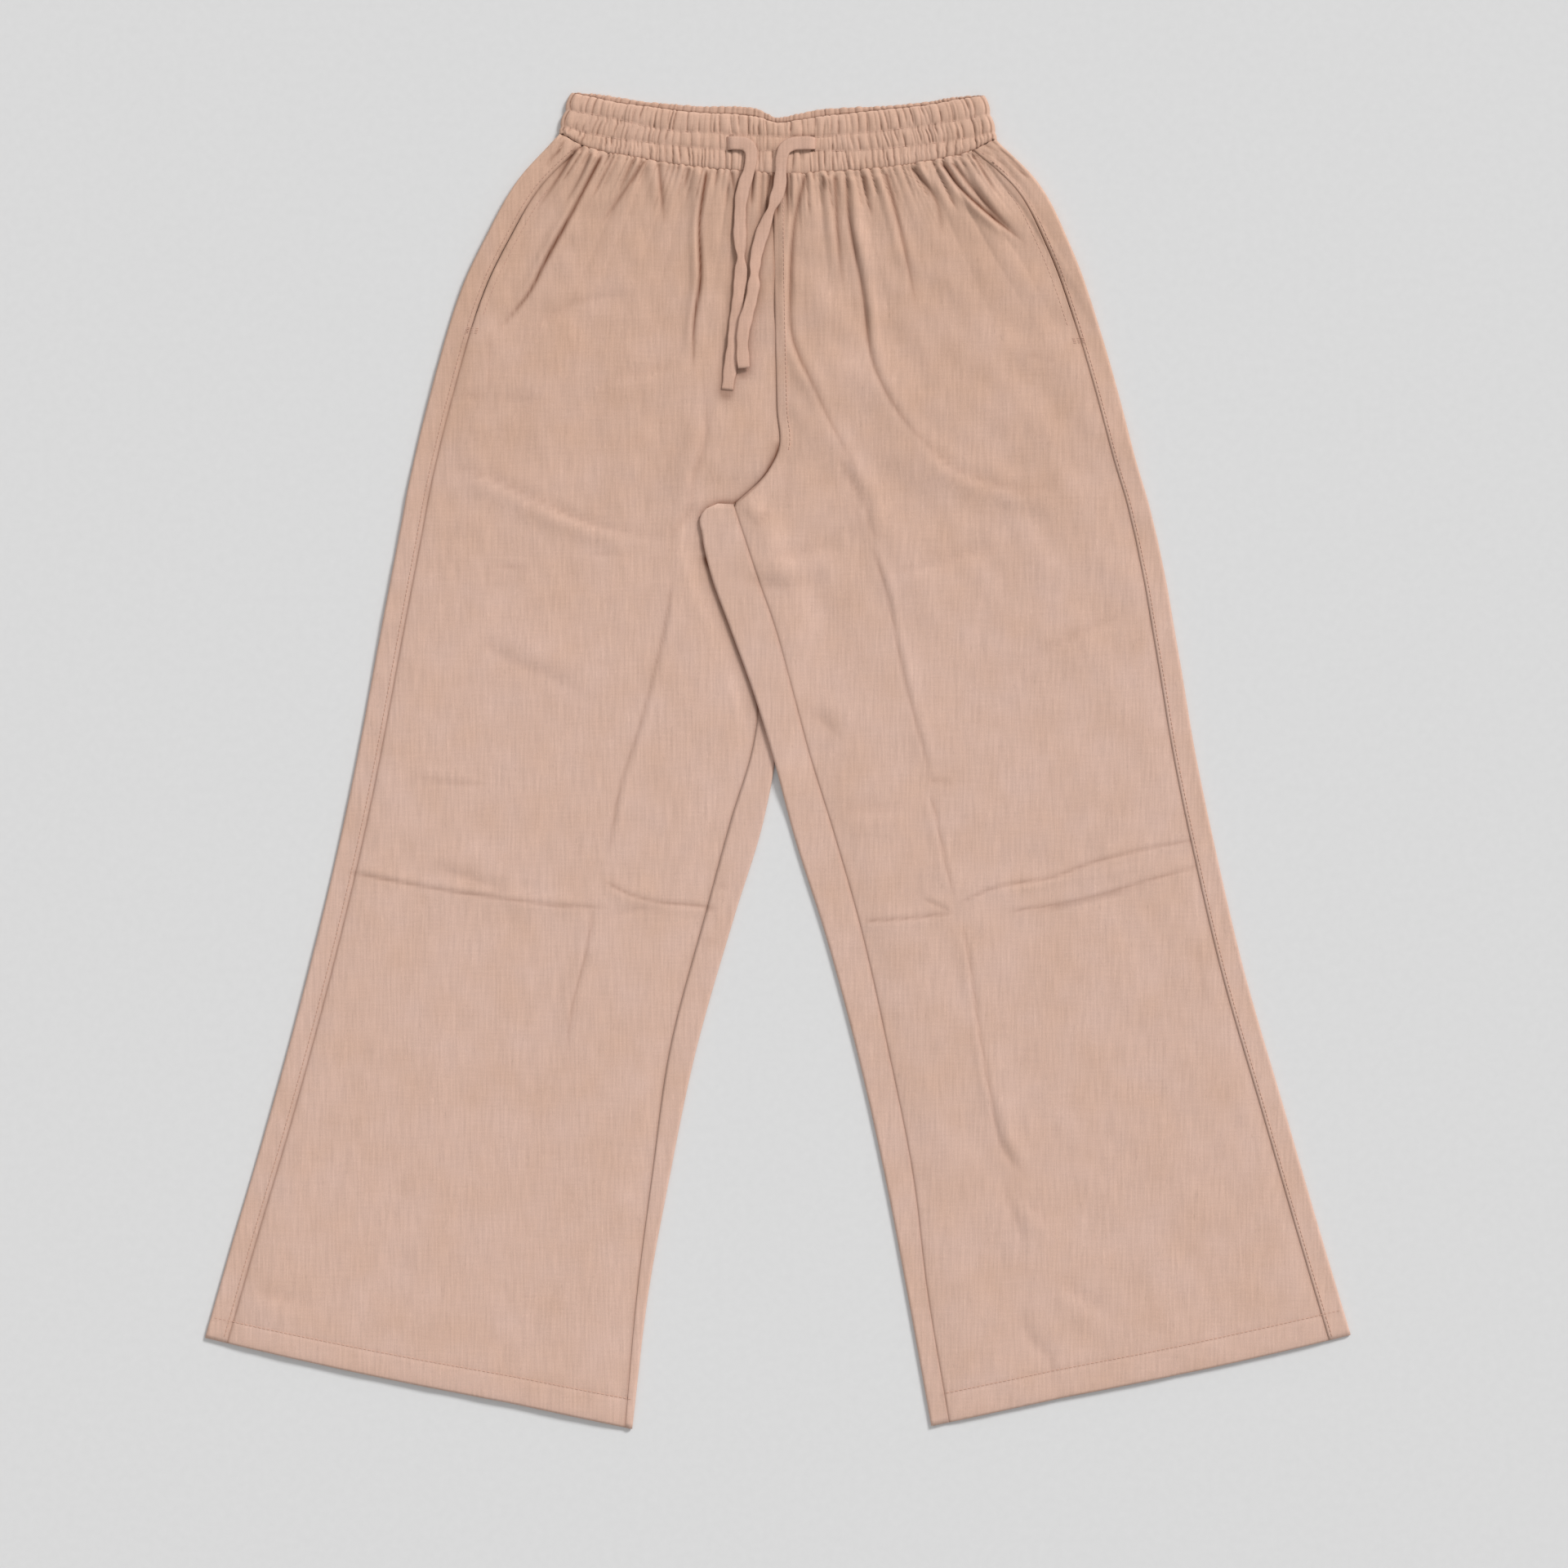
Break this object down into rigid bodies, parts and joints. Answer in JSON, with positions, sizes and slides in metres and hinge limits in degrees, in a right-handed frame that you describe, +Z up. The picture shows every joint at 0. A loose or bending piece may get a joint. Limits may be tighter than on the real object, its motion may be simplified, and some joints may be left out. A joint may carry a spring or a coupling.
{
  "type": "palazzo pants",
  "caption": "Wide-leg linen palazzo pants laid flat, with a gathered drawstring waistband and side-seam pockets.",
  "frame": {"origin": "on the surface that the pants lie on, under the middle of their outline", "axes": "+Z up out of the surface, through the pants; +Y along the pants, towards the waist; +X towards the wearer's left leg"},
  "size_m": [0.8686, 1.0136, 0.0093],
  "materials": {
    "linen": "plain-woven slub linen and cotton, dusty rose, matt",
    "linen_band": "the same linen, gathered on elastic",
    "linen_cord": "flat tube of the same linen"
  },
  "bodies": {
    "root": {"back_right": "linen", "back_left": "linen", "front_right": "linen", "front_left": "linen", "pocket_bag_right": "linen", "pocket_bag_left": "linen", "waistband": "linen_band", "drawstring_right": "linen_cord", "drawstring_left": "linen_cord"}
  },
  "joints": []
}
